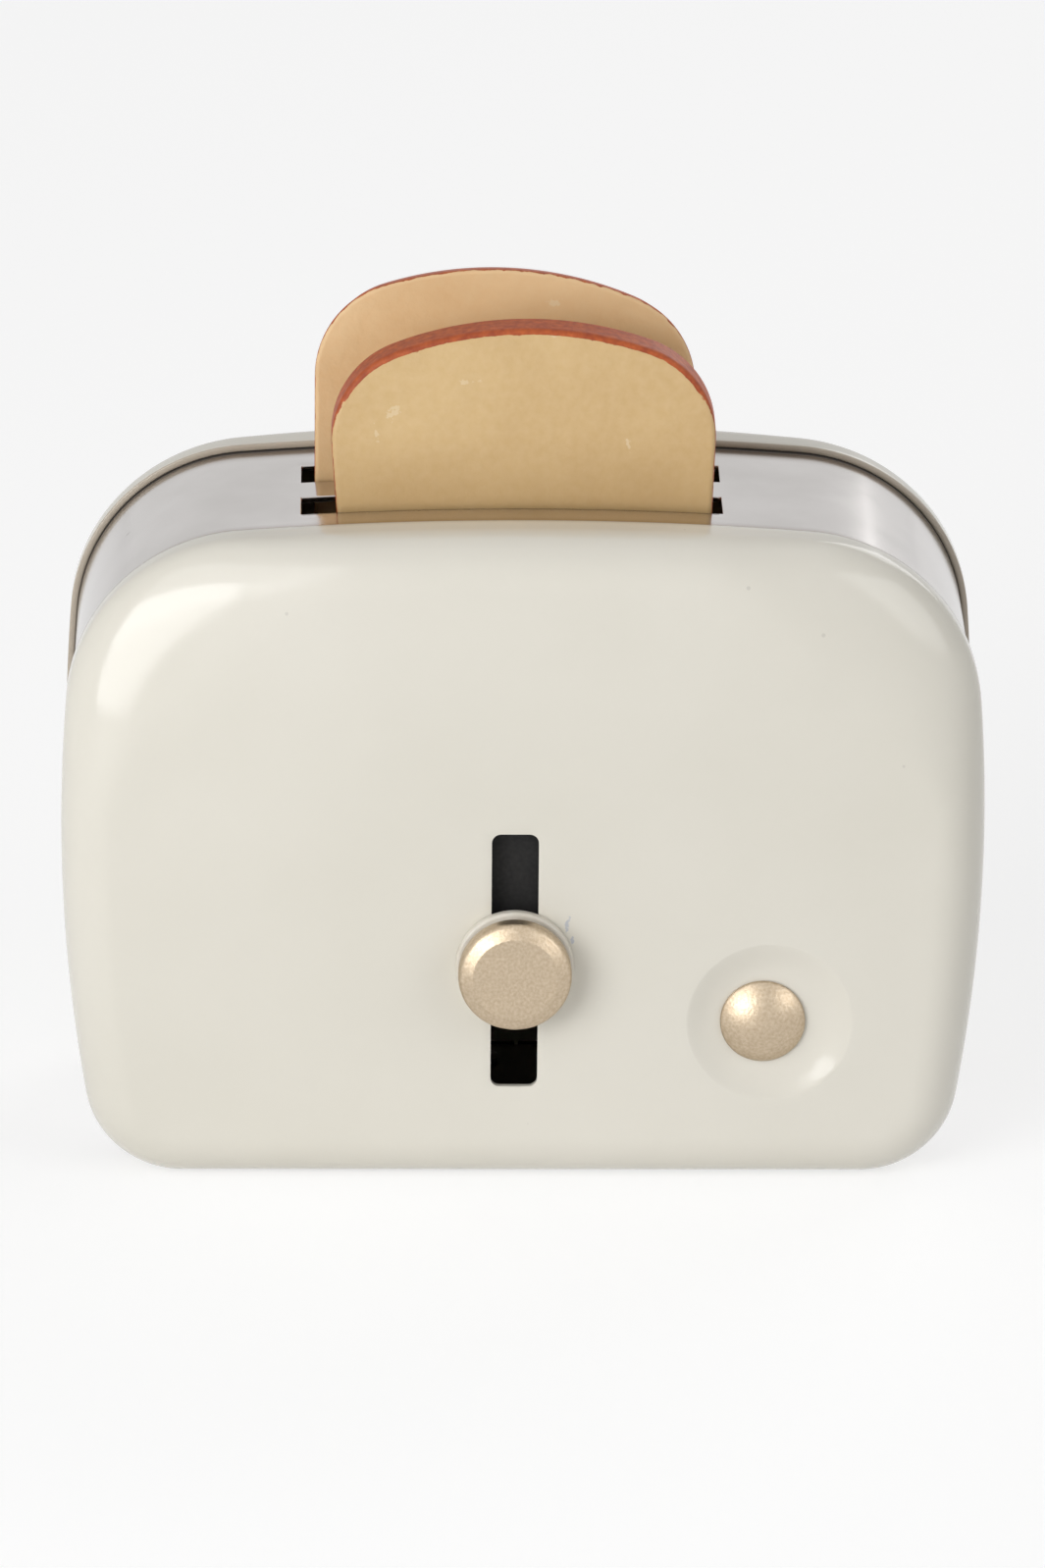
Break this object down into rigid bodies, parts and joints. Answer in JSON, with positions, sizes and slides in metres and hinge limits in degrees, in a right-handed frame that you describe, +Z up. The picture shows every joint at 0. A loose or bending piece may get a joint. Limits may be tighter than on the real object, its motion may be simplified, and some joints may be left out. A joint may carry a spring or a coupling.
{
  "type": "toy toaster",
  "caption": "Toy toaster of pressed enamelled sheet with a bright band, a sliding lever that raises its tray, a turning dial and loose painted wooden slices of toast.",
  "frame": {"origin": "middle of the bottom of the object's box, the lever's knob included, on the surface that it stands on", "axes": "+Z up, -Y towards the lever and dial, +X to the right seen from the front"},
  "size_m": [0.066, 0.0332, 0.0633],
  "materials": {
    "cream_enamel": "glossy baked enamel",
    "tinplate": "bright rolled tinplate, lightly scuffed",
    "pale_gold": "pale gold speckled satin plating with a polished rim",
    "cream_washer": "smooth cream",
    "plain_steel": "plain zinc-plated sheet",
    "spring_steel": "hardened strip",
    "black_steel": "matt black stoved sheet",
    "fibre": "vulcanised fibre",
    "slider_nylon": "natural nylon",
    "toast_wood": "sanded wood with a painted brown crust edge"
  },
  "bodies": {
    "case": {"front_shell": "cream_enamel", "back_shell": "cream_enamel", "centre_band": "tinplate", "seam_strap": "plain_steel", "seam_rivets": "plain_steel", "guide_channel": "plain_steel"},
    "carriage": {"lever_knob": "pale_gold", "lever_washer": "cream_washer", "lever_stem": "plain_steel", "inner_washer": "fibre", "spring_washer": "spring_steel", "lifter_bracket": "black_steel", "lever_nut": "plain_steel", "toast_tray": "plain_steel", "tray_rivets": "plain_steel", "guide_slider": "slider_nylon", "slider_rivet": "plain_steel"},
    "dial": {"dial_button": "pale_gold", "dial_spring_washer": "spring_steel", "dial_clip": "spring_steel"},
    "front_slice": {"toast_front": "toast_wood"},
    "rear_slice": {"toast_rear": "toast_wood"}
  },
  "joints": [
    {"name": "lever_slide", "type": "slide", "parent": "case", "child": "carriage", "axis": [0, 0, 1], "range_m": [-0.00765, 0.00825]},
    {"name": "dial_turn", "type": "hinge", "parent": "case", "child": "dial", "pos_m": [0.0172, 0, 0.0124], "axis": [0, -1, 0], "continuous": true},
    {"name": "front_slice_lift", "type": "slide", "parent": "carriage", "child": "front_slice", "axis": [-0.0175, 0, 0.9998], "range_m": [0, 0.026]},
    {"name": "rear_slice_lift", "type": "slide", "parent": "carriage", "child": "rear_slice", "axis": [0.0523, 0.0436, 0.9977], "range_m": [0, 0.026]}
  ]
}
